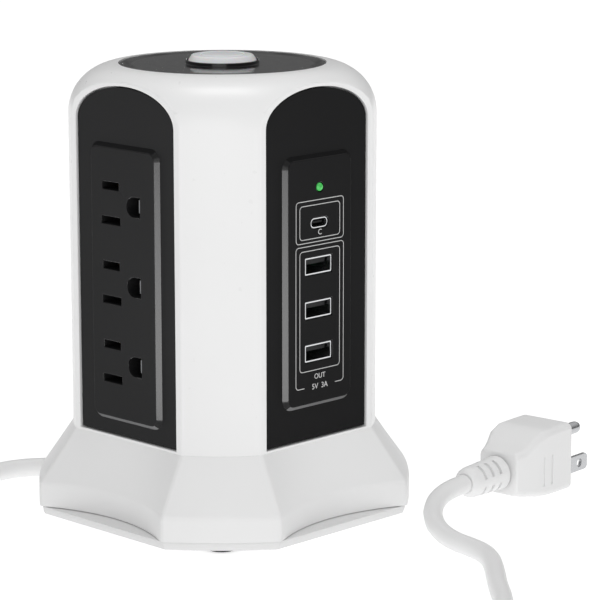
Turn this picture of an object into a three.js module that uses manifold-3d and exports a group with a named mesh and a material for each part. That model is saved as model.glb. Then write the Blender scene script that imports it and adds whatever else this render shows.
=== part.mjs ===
// Tower power strip: an octagonal tower on a four-lobed foot, in millimetres, +Z up.
// The origin is on the surface the tower stands on, under its middle. The front column faces -Y,
// the socket panel beside it faces -X -Y, and the charging panel faces +X -Y.
import * as THREE from "three";
import { mergeVertices } from "three/addons/utils/BufferGeometryUtils.js";
import Module from "manifold-3d";

const wasm = await Module();
wasm.setup();

// ---------- driving dimensions ----------
const GAP = 0.3; // clearance between pieces that touch

const BODY_RADIUS = 57; // the four rounded columns lie on this radius
const FLAT_REACH = 49.2; // the four flats lie this far from the axis
const WALL = 2.2;
const BODY_BOTTOM = 33.4;
const SHOULDER_START = 150.6; // where the top starts to round over
const BODY_TOP = 168.6;
const DISC_SEAT_RADIUS = 38.4;
const DISC_SEAT = 165.6;

const WINDOW_HALF = 26.1;
const WINDOW_BOTTOM = 34.3;
const WINDOW_ARCH = 13.2;
const PANEL_FACE = 48.6; // the panels lie slightly behind the flats
const PANEL_BACK = 46.4;
const PANEL_REAR_PLATE = 44.4;
const PLATEAU_RISE = 1.6; // the outlets and the USB openings are on a raised plateau

const OUTLET_HEIGHTS = [121.1, 91.8, 62.4];
const SLOT_U = -6.4;
const SLOT_HALF_SPACING = 6.35; // blades of this plug standard are 12.7 mm apart
const EARTH_U = 5.8;

const USB_A_HEIGHTS = [99.2, 83.1, 67.1];
const USB_A_U = -0.4;
const USB_A_OUTER = [13.6, 6.2];
const USB_C_HEIGHT = 114.7;
const USB_C_OUTER = [8.6, 3.6];
const LED_HEIGHT = 127.7;

const LOBE_REACH = 68.4;
const LOBE_HALF = 21.4;
const LOBE_BOW = 1.5;
const HOLLOW_DEPTH = 8.5; // how far the foot's edge dips in between two lobes
const BAND_BOTTOM = 5.1;
const BAND_TOP = 14;
const SKIRT_TOP = 33.1;
const PLATE_BOTTOM = 1.5;
const PLATE_TOP = 4.8;

const DISC_RADIUS = 38.1;
const DISC_TOP = 168.2;
const COLLAR_TOP = 169.3; // a low collar round the button
const BUTTON_RADIUS = 12.6;
const BUTTON_TOP = 171.8;

const CORD_RADIUS = 3.6;
const CORD_REST = 3.68; // height of the cord's middle where it lies on the surface
const EXIT_HEIGHT = 9.4;
const COIL_RADIUS = 39;
const COIL_Y = 176.8;
const COIL_THICKNESS = 9.75; // radius of the bundle that the turns make
const COIL_HEIGHT = 10.95; // middle of the bundle above the surface
const TIE_THICKNESS = 0.75;
const PLUG_AXIS = 11.5; // height of the plug's middle as it lies on its side
const PLUG_HEADING = THREE.MathUtils.degToRad(40); // from +Y towards +X
const PLUG_END = [90, -15]; // where the cord meets the plug's strain relief
const PLUG_LENGTH = 54.3; // from there to the plug's face

// ---------- helpers ----------
const part = new THREE.Group();

function solid(geometry) {
  const loose = geometry.index ? geometry.toNonIndexed() : geometry.clone();
  loose.deleteAttribute("normal");
  loose.deleteAttribute("uv");
  const merged = mergeVertices(loose, 1e-4);
  return new wasm.Manifold(
    new wasm.Mesh({
      numProp: 3,
      vertProperties: merged.attributes.position.array,
      triVerts: new Uint32Array(merged.index.array),
    }),
  );
}

function geometryOf(body) {
  const mesh = body.getMesh();
  const points = new Float32Array(mesh.numVert * 3);
  for (let i = 0; i < mesh.numVert; i++) {
    points.set(mesh.vertProperties.subarray(i * mesh.numProp, i * mesh.numProp + 3), i * 3);
  }
  const geometry = new THREE.BufferGeometry();
  geometry.setAttribute("position", new THREE.BufferAttribute(points, 3));
  geometry.setIndex(new THREE.BufferAttribute(mesh.triVerts, 1));
  geometry.computeVertexNormals();
  return geometry;
}

function join(...geometries) {
  return geometryOf(geometries.map(solid).reduce((a, b) => a.add(b)));
}

function cut(geometry, ...tools) {
  return geometryOf(tools.map(solid).reduce((a, b) => a.subtract(b), solid(geometry)));
}

function common(a, b) {
  return geometryOf(solid(a).intersect(solid(b)));
}

// A box from its low corner to its high corner.
function box(x0, y0, z0, x1, y1, z1) {
  const g = new THREE.BoxGeometry(x1 - x0, y1 - y0, z1 - z0);
  return g.translate((x0 + x1) / 2, (y0 + y1) / 2, (z0 + z1) / 2);
}

// A turned piece about the Z axis. The profile runs upwards as [radius, height].
function turned(profile, segments = 32) {
  const points = profile.map(([r, z]) => new THREE.Vector2(r, z));
  return new THREE.LatheGeometry(points, segments).rotateX(Math.PI / 2);
}

function cylinder(radius, z0, z1, segments = 24) {
  return turned([[0, z0], [radius, z0], [radius, z1], [0, z1]], segments);
}

function roundedRectangle(cx, cy, width, height, radius) {
  const x0 = cx - width / 2;
  const x1 = cx + width / 2;
  const y0 = cy - height / 2;
  const y1 = cy + height / 2;
  const s = new THREE.Shape();
  s.moveTo(x0 + radius, y0);
  s.lineTo(x1 - radius, y0);
  s.absarc(x1 - radius, y0 + radius, radius, -Math.PI / 2, 0, false);
  s.lineTo(x1, y1 - radius);
  s.absarc(x1 - radius, y1 - radius, radius, 0, Math.PI / 2, false);
  s.lineTo(x0 + radius, y1);
  s.absarc(x0 + radius, y1 - radius, radius, Math.PI / 2, Math.PI, false);
  s.lineTo(x0, y0 + radius);
  s.absarc(x0 + radius, y0 + radius, radius, Math.PI, Math.PI * 1.5, false);
  return s;
}

function extruded(shape, from, to, curveSegments = 4) {
  const g = new THREE.ExtrudeGeometry(shape, { depth: to - from, bevelEnabled: false, curveSegments });
  return g.translate(0, 0, from);
}

// A skin through rings of points with the same count, closed by a fan at each end.
function loft(rings) {
  const count = rings[0].length;
  const points = rings.flat();
  const middle = (ring) => ring.reduce((a, b) => a.clone().add(b)).divideScalar(count);
  const index = [];
  for (let k = 0; k + 1 < rings.length; k++) {
    for (let i = 0; i < count; i++) {
      const a = k * count + i;
      const b = k * count + ((i + 1) % count);
      index.push(a, b, b + count);
      index.push(a, b + count, a + count);
    }
  }
  const low = points.push(middle(rings[0])) - 1;
  const high = points.push(middle(rings.at(-1))) - 1;
  const last = (rings.length - 1) * count;
  for (let i = 0; i < count; i++) {
    index.push(low, (i + 1) % count, i);
    index.push(high, last + i, last + ((i + 1) % count));
  }
  const g = new THREE.BufferGeometry().setFromPoints(points);
  g.setIndex(index);
  g.computeVertexNormals();
  return g;
}

// Moves a piece drawn as (along the flat, up, outwards) to the flat that faces the given angle.
function onFlat(geometry, degrees) {
  const a = THREE.MathUtils.degToRad(degrees);
  const out = new THREE.Vector3(Math.cos(a), Math.sin(a), 0);
  const up = new THREE.Vector3(0, 0, 1);
  const along = new THREE.Vector3().crossVectors(up, out);
  return geometry.applyMatrix4(new THREE.Matrix4().makeBasis(along, up, out));
}

function add(name, geometry, color, roughness, metalness = 0) {
  const material = new THREE.MeshStandardMaterial({ color, roughness, metalness });
  const mesh = new THREE.Mesh(geometry, material);
  mesh.name = name;
  part.add(mesh);
}

const WHITE = "#ededed";
const WHITE_LOW = "#e4e4e4";
const DARK = "#2f2f30";
const STEEL = "#c3c5c8";
const BRASS = "#c9a65a";

// ---------- tower shell ----------
// The columns are turned about the axis, and the four flats are sliced off square to the diagonals.
function diagonalBlock(reach, z0, z1) {
  return box(-reach, -reach, z0, reach, reach, z1).rotateZ(Math.PI / 4);
}

function shoulder(startRadius, endRadius, startZ, endZ, steps) {
  const points = [];
  for (let i = 0; i <= steps; i++) {
    const a = (Math.PI / 2) * (i / steps);
    const r = endRadius + (startRadius - endRadius) * Math.cos(a);
    points.push([r, startZ + (endZ - startZ) * Math.sin(a)]);
  }
  return points;
}

function archShape(half, bottom, rise) {
  const s = new THREE.Shape();
  s.moveTo(-half, bottom);
  s.lineTo(half, bottom);
  s.lineTo(half, SHOULDER_START);
  s.absellipse(0, SHOULDER_START, half, rise, 0, Math.PI, false);
  s.lineTo(-half, bottom);
  return s;
}

const outerForm = turned(
  [
    [0, BODY_BOTTOM],
    [BODY_RADIUS, BODY_BOTTOM],
    ...shoulder(BODY_RADIUS, DISC_SEAT_RADIUS, SHOULDER_START, BODY_TOP, 7),
    [DISC_SEAT_RADIUS, DISC_SEAT],
    [0, DISC_SEAT],
  ],
  56,
);
const innerForm = turned(
  [
    [0, BODY_BOTTOM - 1],
    [BODY_RADIUS - WALL, BODY_BOTTOM - 1],
    ...shoulder(BODY_RADIUS - WALL, 36, 148.5, 163.9, 4),
    [0, 163.9],
  ],
  32,
);
const cavity = common(innerForm, diagonalBlock(FLAT_REACH - WALL - 0.1, BODY_BOTTOM - 1, 164));
const windows = [-135, -45, 45, 135].map((angle) =>
  onFlat(extruded(archShape(WINDOW_HALF, WINDOW_BOTTOM, WINDOW_ARCH), 46.1, 60, 12), angle),
);
const shell = cut(
  common(outerForm, diagonalBlock(FLAT_REACH, BODY_BOTTOM, BODY_TOP + 1)),
  cavity,
  cylinder(33, 160, 167, 32),
  ...windows,
);
add("tower_shell", shell, WHITE, 0.35);

// ---------- socket and charging panels ----------
// Each panel is a plate that fills its window, a wider rear plate that holds it behind the wall,
// and a raised plateau with sloping edges.
function plateau(halfWidth, bottom, top) {
  const shape = roundedRectangle(0, (bottom + top) / 2, halfWidth * 2, top - bottom, 4.5);
  const g = new THREE.ExtrudeGeometry(shape, {
    depth: 0.5,
    bevelEnabled: true,
    bevelThickness: PLATEAU_RISE,
    bevelSize: PLATEAU_RISE,
    bevelOffset: -PLATEAU_RISE,
    bevelSegments: 1,
    curveSegments: 3,
  });
  return g.translate(0, 0, PANEL_FACE - 0.5);
}

function panelBlank(halfWidth, bottom, top) {
  const windowPlug = archShape(WINDOW_HALF - GAP, WINDOW_BOTTOM + GAP, WINDOW_ARCH - GAP);
  const front = extruded(windowPlug, PANEL_BACK, PANEL_FACE, 12);
  const rear = box(-26.6, 37, PANEL_REAR_PLATE, 26.6, 149, PANEL_BACK + 0.2);
  return join(front, rear, plateau(halfWidth, bottom, top));
}

function through(shape) {
  return extruded(shape, 43, 52, 3);
}

// The earth hole is round towards the slots and flat on the far side.
function earthShape(z) {
  const s = new THREE.Shape();
  s.moveTo(EARTH_U + 3.4, z + 3.6);
  s.lineTo(EARTH_U, z + 3.6);
  s.absarc(EARTH_U, z, 3.6, Math.PI / 2, Math.PI * 1.5, false);
  s.lineTo(EARTH_U + 3.4, z - 3.6);
  return s;
}

function slot(width, z) {
  return box(SLOT_U - width / 2, z - 1.4, 43, SLOT_U + width / 2, z + 1.4, 52);
}

function socketPanel() {
  const tools = OUTLET_HEIGHTS.flatMap((z) => [
    slot(8.8, z + SLOT_HALF_SPACING),
    slot(10, z - SLOT_HALF_SPACING),
    through(earthShape(z)),
  ]);
  return cut(panelBlank(18.4, 40.2, 142.8), ...tools);
}

// A contact strip runs up the panel and holds a pair of spring leaves behind each opening.
function contactStrip(barU, leafU, leafOffset, leafGap) {
  const low = OUTLET_HEIGHTS.at(-1) - 10;
  const high = OUTLET_HEIGHTS[0] + 10;
  const leaves = OUTLET_HEIGHTS.flatMap((z) =>
    [-1, 1].map((side) => {
      const near = z + leafOffset + (side * leafGap) / 2;
      const far = near + side * 0.7;
      return box(leafU[0], Math.min(near, far), 31.4, leafU[1], Math.max(near, far), 42.6);
    }),
  );
  return join(box(barU[0], low, 31.3, barU[1], high, 32.3), ...leaves);
}

function socketCarrier() {
  const tray = box(-14.6, 46.6, 29.4, 14.6, 137.4, PANEL_REAR_PLATE - GAP);
  return cut(tray, box(-13, 48.2, 31, 13, 135.8, 46));
}

const SOCKET_SIDES = { front_left: -135, rear_left: 135, rear_right: 45 };
for (const [side, angle] of Object.entries(SOCKET_SIDES)) {
  add("ac_panel_" + side, onFlat(socketPanel(), angle), DARK, 0.45);
  add("ac_carrier_" + side, onFlat(socketCarrier(), angle), "#3a3a3c", 0.6);
  const live = contactStrip([-11.6, -8.8], [-11.2, -5], SLOT_HALF_SPACING, 1.7);
  const neutral = contactStrip([-4.4, -1.6], [-8, -1.8], -SLOT_HALF_SPACING, 1.7);
  const earth = contactStrip([4.4, 7.4], [3.4, 8.6], 0, 5.2);
  add("live_strip_" + side, onFlat(live, angle), BRASS, 0.35, 1);
  add("neutral_strip_" + side, onFlat(neutral, angle), BRASS, 0.35, 1);
  add("earth_strip_" + side, onFlat(earth, angle), BRASS, 0.35, 1);
}

const usbOpenings = USB_A_HEIGHTS.map((z) =>
  through(roundedRectangle(USB_A_U, z, USB_A_OUTER[0] + 2 * GAP, USB_A_OUTER[1] + 2 * GAP, 0.6)),
);
const usbPosts = [-1, 1].flatMap((side) =>
  [57, 131].map((z) => cylinder(2.4, 30, 45.4, 12).translate(side * 17, z, 0)),
);
const usbPanel = cut(
  join(panelBlank(17.7, 47, 139.8), ...usbPosts),
  ...usbOpenings,
  through(roundedRectangle(0, USB_C_HEIGHT, USB_C_OUTER[0] + 2 * GAP, USB_C_OUTER[1] + 2 * GAP, 2)),
  cylinder(1.9, 43, 52, 16).translate(0, LED_HEIGHT, 0),
);
add("usb_panel", onFlat(usbPanel, -45), DARK, 0.45);

USB_A_HEIGHTS.forEach((z, i) => {
  const [w, h] = USB_A_OUTER;
  const tube = extruded(roundedRectangle(USB_A_U, z, w, h, 0.5), 30, 49.7, 2);
  const bore = extruded(roundedRectangle(USB_A_U, z, w - 0.9, h - 0.9, 0.3), 29, 51, 2);
  add("usb_a_shell_" + (i + 1), onFlat(cut(tube, bore), -45), STEEL, 0.3, 1);
  const tongue = box(USB_A_U - 5.6, z + 0.3, 30, USB_A_U + 5.6, z + 2.2, 47.5);
  add("usb_a_tongue_" + (i + 1), onFlat(tongue, -45), "#19191a", 0.5);
});
const cTube = extruded(roundedRectangle(0, USB_C_HEIGHT, ...USB_C_OUTER, 1.7), 30, 49.7, 3);
const cOpening = roundedRectangle(0, USB_C_HEIGHT, USB_C_OUTER[0] - 0.7, USB_C_OUTER[1] - 0.7, 1.4);
const cBore = extruded(cOpening, 29, 51, 3);
add("usb_c_shell", onFlat(cut(cTube, cBore), -45), STEEL, 0.3, 1);
const cTongue = box(-3.1, USB_C_HEIGHT - 0.35, 30, 3.1, USB_C_HEIGHT + 0.35, 48);
add("usb_c_tongue", onFlat(cTongue, -45), "#19191a", 0.5);
const lens = turned([[0, 30], [1.5, 30], [1.5, 50.1], [1.1, 50.6], [0, 50.8]], 16);
add("led_lens", onFlat(lens.translate(0, LED_HEIGHT, 0), -45), "#4fd060", 0.25);
add("charger_board", onFlat(box(-20, 52, 28.1, 20, 136, 29.7), -45), "#2c6a45", 0.6);

// ---------- top disc, button and switch ----------
const disc = turned(
  [
    [BUTTON_RADIUS + 0.5, DISC_SEAT + GAP],
    [DISC_RADIUS, DISC_SEAT + GAP],
    [DISC_RADIUS, 167.7],
    [37.5, 168.5],
    [36.4, 168.5],
    [35.4, DISC_TOP],
    [14.2, DISC_TOP],
    [14.1, 169],
    [BUTTON_RADIUS + 0.5, COLLAR_TOP],
    [BUTTON_RADIUS + 0.5, DISC_SEAT + GAP],
  ],
  48,
);
add("top_disc", disc, "#232324", 0.25);

const button = turned(
  [
    [0, 163.2],
    [14.2, 163.2],
    [14.2, 165.2],
    [BUTTON_RADIUS, 165.2],
    [BUTTON_RADIUS, 169.4],
    [11.2, 171.4],
    [8.4, 171.6],
    [8, 171.2],
    [7.6, 171.6],
    [4.6, BUTTON_TOP],
    [0, BUTTON_TOP],
  ],
  32,
);
add("power_button", button, "#e6e8ea", 0.3);
add("switch_plunger", cylinder(2.8, 146, 163.2 - GAP, 16), "#d9d9da", 0.5);

class SpringPath extends THREE.Curve {
  getPoint(t, target = new THREE.Vector3()) {
    const a = t * 5 * Math.PI * 2;
    return target.set(5.2 * Math.cos(a), 5.2 * Math.sin(a), 152.9 + t * 9.4);
  }
}
const wire = new THREE.Shape().absarc(0, 0, 0.45, 0, Math.PI * 2, false);
const spring = new THREE.ExtrudeGeometry(wire, {
  steps: 40,
  extrudePath: new SpringPath(),
  bevelEnabled: false,
  curveSegments: 3,
});
add("button_spring", spring, "#b9bcc0", 0.3, 1);

const housing = cut(box(-11, -9, 128.3, 11, 9, 152.2), cylinder(3.3, 143, 154, 20));
add("switch_housing", housing, "#1f1f20", 0.5);
add("switch_bridge", box(-53, -5, 126, 53, 5, 128), "#dcdcdc", 0.5);

add("surge_board", box(-20, -0.8, PLATE_TOP + GAP, 20, 0.8, 118), "#2c6a45", 0.6);
[60, 80, 100].forEach((z, i) => {
  const body = cylinder(7, 1.1, 5.3, 18).rotateX(-Math.PI / 2).translate(0, 0, z);
  add("varistor_" + (i + 1), body, "#2a5fa8", 0.5);
});

// ---------- foot ----------
const UPWARDS = new THREE.Vector3(0, 0, 1);
const LOBE_STEPS = 4;
const HOLLOW_STEPS = 8;

// The edge of the foot: four bowed lobes, and a shallow hollow between each two.
function footRing(reach, half, bow, hollow, z) {
  const ring = [];
  for (let k = 0; k < 4; k++) {
    const quarter = (k * Math.PI) / 2;
    const place = (x, y) => ring.push(new THREE.Vector3(x, y, z).applyAxisAngle(UPWARDS, quarter));
    for (let i = 0; i < LOBE_STEPS; i++) {
      const s = -1 + (2 * i) / LOBE_STEPS;
      place(reach + bow * (1 - s * s), half * s);
    }
    for (let i = 0; i < HOLLOW_STEPS; i++) {
      const s = i / HOLLOW_STEPS;
      const dip = hollow * 4 * s * (1 - s) * Math.SQRT1_2;
      place(reach + (half - reach) * s - dip, half + (reach - half) * s - dip);
    }
  }
  return ring;
}

// The edge of the tower's body, with the same count of points as the foot.
function bodyRing(radius, flat, z) {
  const half = Math.PI / 4 - Math.acos(flat / radius);
  const corner = [radius * Math.cos(half), radius * Math.sin(half)];
  const ring = [];
  for (let k = 0; k < 4; k++) {
    const quarter = (k * Math.PI) / 2;
    const place = (x, y) => ring.push(new THREE.Vector3(x, y, z).applyAxisAngle(UPWARDS, quarter));
    for (let i = 0; i < LOBE_STEPS; i++) {
      const a = half * (-1 + (2 * i) / LOBE_STEPS);
      place(radius * Math.cos(a), radius * Math.sin(a));
    }
    for (let i = 0; i < HOLLOW_STEPS; i++) {
      const s = i / HOLLOW_STEPS;
      place(corner[0] + (corner[1] - corner[0]) * s, corner[1] + (corner[0] - corner[1]) * s);
    }
  }
  return ring;
}

const skirtOuter = loft([
  footRing(LOBE_REACH, LOBE_HALF, LOBE_BOW, HOLLOW_DEPTH, BAND_BOTTOM),
  footRing(LOBE_REACH, LOBE_HALF, LOBE_BOW, HOLLOW_DEPTH, BAND_TOP),
  bodyRing(BODY_RADIUS, FLAT_REACH, SKIRT_TOP),
]);
const skirtInner = loft([
  footRing(LOBE_REACH - 2.4, LOBE_HALF - 1.4, LOBE_BOW, HOLLOW_DEPTH, BAND_BOTTOM - 1),
  footRing(LOBE_REACH - 2.4, LOBE_HALF - 1.4, LOBE_BOW, HOLLOW_DEPTH, BAND_TOP - 1),
  bodyRing(BODY_RADIUS - 3, FLAT_REACH - 3, SKIRT_TOP - 2.2),
]);
const BOSSES = [-135, -45, 45, 135].map((degrees) => {
  const a = THREE.MathUtils.degToRad(degrees);
  return [46.5 * Math.cos(a), 46.5 * Math.sin(a)];
});
const bosses = BOSSES.map(([x, y]) => cylinder(3.8, BAND_BOTTOM, SKIRT_TOP - 1.4, 12).translate(x, y, 0));
const bossHoles = BOSSES.map(([x, y]) => cylinder(1.6, 0, 20, 8).translate(x, y, 0));
const cordHole = cylinder(4.35, 60, 80, 20).rotateX(-Math.PI / 2).translate(0, 0, EXIT_HEIGHT);
const skirt = cut(
  join(cut(skirtOuter, skirtInner, cylinder(41, 20, 40, 32)), ...bosses),
  ...bossHoles,
  cordHole,
);
add("base_skirt", skirt, WHITE_LOW, 0.4);

const FEET = { front: [0, -59], right: [59, 0], rear: [0, 59], left: [-59, 0] };
const plateBlank = loft([
  footRing(LOBE_REACH - 2.7, LOBE_HALF - 1.5, LOBE_BOW, 0, PLATE_BOTTOM),
  footRing(LOBE_REACH - 1.2, LOBE_HALF - 0.7, LOBE_BOW, 0, PLATE_BOTTOM + 1.6),
  footRing(LOBE_REACH - 1.2, LOBE_HALF - 0.7, LOBE_BOW, 0, PLATE_TOP),
]);
const plate = cut(
  plateBlank,
  ...Object.values(FEET).map(([x, y]) => cylinder(6.4, 0, 2.9, 18).translate(x, y, 0)),
  ...BOSSES.map(([x, y]) => cylinder(1.7, 0, 6, 8).translate(x, y, 0)),
  ...BOSSES.map(([x, y]) => cylinder(3.4, 0, 3.1, 12).translate(x, y, 0)),
);
add("base_plate", plate, "#d8d8d8", 0.5);

for (const [side, [x, y]] of Object.entries(FEET)) {
  const foot = turned([[0, 0], [5.4, 0], [6.1, 0.7], [6.1, 2.6], [0, 2.6]], 18);
  add("rubber_foot_" + side, foot.translate(x, y, 0), "#4a4a4b", 0.85);
}
BOSSES.forEach(([x, y], i) => {
  const screw = turned([[0, 1.9], [3, 1.9], [3, 2.8], [1.3, 2.8], [1.3, 17], [0, 18]], 10);
  add("base_screw_" + (i + 1), screw.translate(x, y, 0), "#9a9ca0", 0.35, 1);
});

// ---------- supply cord ----------
// It leaves the rear lobe through a tapered gland, turns into a tied coil behind the tower, passes behind
// the left lobe, and lies in a wide bend round the front to the plug beside the tower.
const gland = turned(
  [[0, 62], [4.05, 62], [4.05, 70.2], [6.3, 70.4], [6.3, 73.4], [5.6, 75], [4.4, 103], [0, 103]],
  20,
);
add("cord_gland", gland.rotateX(-Math.PI / 2).translate(0, 0, EXIT_HEIGHT), "#dedede", 0.6);

function tube(points, steps) {
  const path = new THREE.CatmullRomCurve3(points.map((p) => new THREE.Vector3(...p)), false, "centripetal");
  const round = new THREE.Shape().absarc(0, 0, CORD_RADIUS, 0, Math.PI * 2, false);
  const settings = { steps, extrudePath: path, bevelEnabled: false, curveSegments: 4 };
  return new THREE.ExtrudeGeometry(round, settings);
}

// A quarter turn or less, seen from above, as points every so many degrees.
function bend(cx, cy, radius, fromDegrees, toDegrees, count, z = CORD_REST) {
  const points = [];
  for (let i = 0; i <= count; i++) {
    const a = THREE.MathUtils.degToRad(fromDegrees + ((toDegrees - fromDegrees) * i) / count);
    points.push([cx + radius * Math.cos(a), cy + radius * Math.sin(a), z]);
  }
  return points;
}

const leadPoints = [
  [0, 103.3, EXIT_HEIGHT],
  [0, 108, 9.2],
  [0.1, 114, 8.4],
  [0.9, 119, 7.4],
  [2.2, 123.2, 6.5],
];
add("cord_lead", tube(leadPoints, 6), "#e6e6e6", 0.5);

const bundle = [];
for (let i = 0; i <= 12; i++) {
  const a = (Math.PI * 2 * i) / 12;
  bundle.push([COIL_RADIUS - COIL_THICKNESS * Math.cos(a), COIL_HEIGHT - COIL_THICKNESS * Math.sin(a)]);
}
bundle[12] = [...bundle[0]];
add("cord_coil", turned(bundle, 32).translate(0, COIL_Y, 0), "#e6e6e6", 0.5);
const tieInner = COIL_THICKNESS + GAP + 0.1;
const tie = cut(cylinder(tieInner + TIE_THICKNESS, -4, 4, 24), cylinder(tieInner, -5, 5, 24));
add("cord_tie", tie.rotateX(-Math.PI / 2).translate(COIL_RADIUS, COIL_Y, COIL_HEIGHT), "#3c3c3e", 0.7);

const runPoints = [
  [-39, 141, CORD_REST],
  [-39, 120, CORD_REST],
  [-39, 95, CORD_REST],
  ...bend(-69, 70, 30, 0, -90, 4),
  ...bend(-69, 10, 30, 90, 180, 4).slice(1),
  [-99, -25, CORD_REST],
  [-99, -65, CORD_REST],
  [-99, -100, CORD_REST],
  ...bend(-65, -138, 34, 180, 270, 4),
  [-30, -172, CORD_REST],
  [15, -172, CORD_REST],
  [46, -171.5, CORD_REST],
  ...bend(61, -137.6, 34, -90, 0, 4),
  [95, -114, CORD_REST],
  ...bend(61, -90.2, 34, 0, 35, 3),
  ...bend(110.9, -43, 34, 215, 140, 5).map(([x, y], i) => [x, y, [3.9, 5, 6.7, 8.6, 10.2, 11.2][i]]),
  [...PLUG_END, PLUG_AXIS],
];
add("cord_run", tube(runPoints, 62), "#e6e6e6", 0.5);

// ---------- plug ----------
// It is drawn with its face at the origin and its blades along +Y, then laid down beside the tower with the
// earth pin uppermost.
function laid(geometry) {
  const x = PLUG_END[0] + PLUG_LENGTH * Math.sin(PLUG_HEADING);
  const y = PLUG_END[1] + PLUG_LENGTH * Math.cos(PLUG_HEADING);
  return geometry.rotateY(Math.PI / 2).rotateZ(-PLUG_HEADING).translate(x, y, PLUG_AXIS);
}

const relief = turned([[0, -54], [5, -54], [6.6, -33.8], [0, -33.8]], 20);
add("plug_strain_relief", laid(relief.rotateX(-Math.PI / 2)), "#e6e6e6", 0.5);

// Rings across the plug body, each a rounded rectangle at its distance behind the face.
function plugRing(y, x0, x1, halfHeight, radius) {
  const shape = roundedRectangle((x0 + x1) / 2, 0, x1 - x0, halfHeight * 2, radius);
  const points = shape.getPoints(3).slice(0, -1);
  return points.map((p) => new THREE.Vector3(p.x, y, p.y));
}
const plugBody = loft([
  plugRing(0, -14, 10.4, 11, 2.6),
  plugRing(-1.2, -15, 11.4, 12, 3.4),
  plugRing(-17, -14.8, 11, 12, 3.4),
  plugRing(-22, -13.2, 10.4, 11.6, 3.4),
  plugRing(-28, -9, 9.6, 10, 3.4),
  plugRing(-32.3, -8, 8.4, 8.8, 3.4),
  plugRing(-33.5, -7.2, 7.6, 8, 3),
]);
add("plug_body", laid(plugBody), "#e9e9e9", 0.45);

function blade(z) {
  const shape = new THREE.Shape();
  shape.moveTo(1.2, 0.3);
  shape.lineTo(7.6, 0.3);
  shape.lineTo(7.6, 16.6);
  shape.lineTo(6.6, 17.9);
  shape.lineTo(2.2, 17.9);
  shape.lineTo(1.2, 16.6);
  shape.holes.push(new THREE.Path().absarc(4.4, 12.4, 1.6, 0, Math.PI * 2, true));
  return laid(extruded(shape, -0.75, 0.75, 6).translate(0, 0, z));
}
add("plug_blade_live", blade(6.35), "#b9bbbd", 0.3, 1);
add("plug_blade_neutral", blade(-6.35), "#b9bbbd", 0.3, 1);
const pin = turned([[0, 0.3], [2.38, 0.3], [2.38, 18.6], [1.9, 20.4], [0, 21.4]], 16);
add("plug_earth_pin", laid(pin.rotateX(-Math.PI / 2).translate(-7.5, 0, 0)), "#b9bbbd", 0.3, 1);

export default part;
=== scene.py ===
# %% [markdown]
# # Tower power strip
#
# This lesson rebuilds a tower power strip in Blender: an octagonal white tower on a four-lobed foot, with
# dark socket panels, a charging panel, a round button on a dark disc, and a supply cord with its plug. The
# CAD model is loaded first and stays where it is. Every new piece is placed by the CAD model's own numbers,
# so nothing has to be fitted. Lengths below are in millimetres, and MM turns them to Blender's metres.

# %% Load the CAD frame
import math

import bpy
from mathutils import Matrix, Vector


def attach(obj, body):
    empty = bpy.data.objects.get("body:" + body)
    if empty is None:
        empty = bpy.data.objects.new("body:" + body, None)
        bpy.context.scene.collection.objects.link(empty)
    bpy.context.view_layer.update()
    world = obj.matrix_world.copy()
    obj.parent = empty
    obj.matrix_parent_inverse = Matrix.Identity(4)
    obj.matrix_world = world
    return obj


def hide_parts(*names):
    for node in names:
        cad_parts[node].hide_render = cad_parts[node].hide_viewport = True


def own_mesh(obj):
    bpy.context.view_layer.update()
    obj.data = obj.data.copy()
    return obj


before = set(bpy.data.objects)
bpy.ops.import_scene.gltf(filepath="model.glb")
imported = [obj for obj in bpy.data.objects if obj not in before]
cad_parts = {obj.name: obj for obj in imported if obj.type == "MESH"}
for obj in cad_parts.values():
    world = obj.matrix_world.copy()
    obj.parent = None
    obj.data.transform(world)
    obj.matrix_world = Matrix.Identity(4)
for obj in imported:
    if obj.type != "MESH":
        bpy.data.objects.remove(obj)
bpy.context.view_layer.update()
MM = 0.001

# %% [markdown]
# ## Camera, light and floor
#
# A long lens a metre away keeps the tower's sides almost parallel. The camera is tilted down by twelve
# degrees, so the top disc shows as a thin ellipse. The light is that of a white product studio: a large soft
# front light, a top light, and a pale surround that keeps the shadows open.

# %% The camera
CAMERA_PLACE = (0.0212, -1.00615, 0.28728)
CAMERA_PITCH = 0.2042
CAMERA_YAW = 0.00733
bpy.ops.object.camera_add(location=CAMERA_PLACE, rotation=(math.pi / 2 - CAMERA_PITCH, 0, -CAMERA_YAW))
camera = bpy.context.object
camera.name = "camera"
camera.data.sensor_width = 36
camera.data.lens = 164.36
bpy.context.scene.camera = camera
print("lens", round(camera.data.lens, 1), "mm")

# %% The light and the floor
FLOOR_SIZE = 12


def soft_light(name, place, aim, size, power):
    bpy.ops.object.light_add(type="AREA", location=place)
    light = bpy.context.object
    light.name = name
    light.rotation_euler = (Vector(aim) - Vector(place)).to_track_quat("-Z", "Y").to_euler()
    light.data.shape = "RECTANGLE"
    light.data.size = size[0]
    light.data.size_y = size[1]
    light.data.energy = power
    light.visible_camera = False
    return light


soft_light("front_light", (-0.3, -2.0, 0.5), (0, 0, 0.08), (1.6, 1.0), 9.2)
soft_light("top_light", (0, 0.1, 1.7), (0, 0, 0), (1.6, 1.6), 5)
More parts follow.
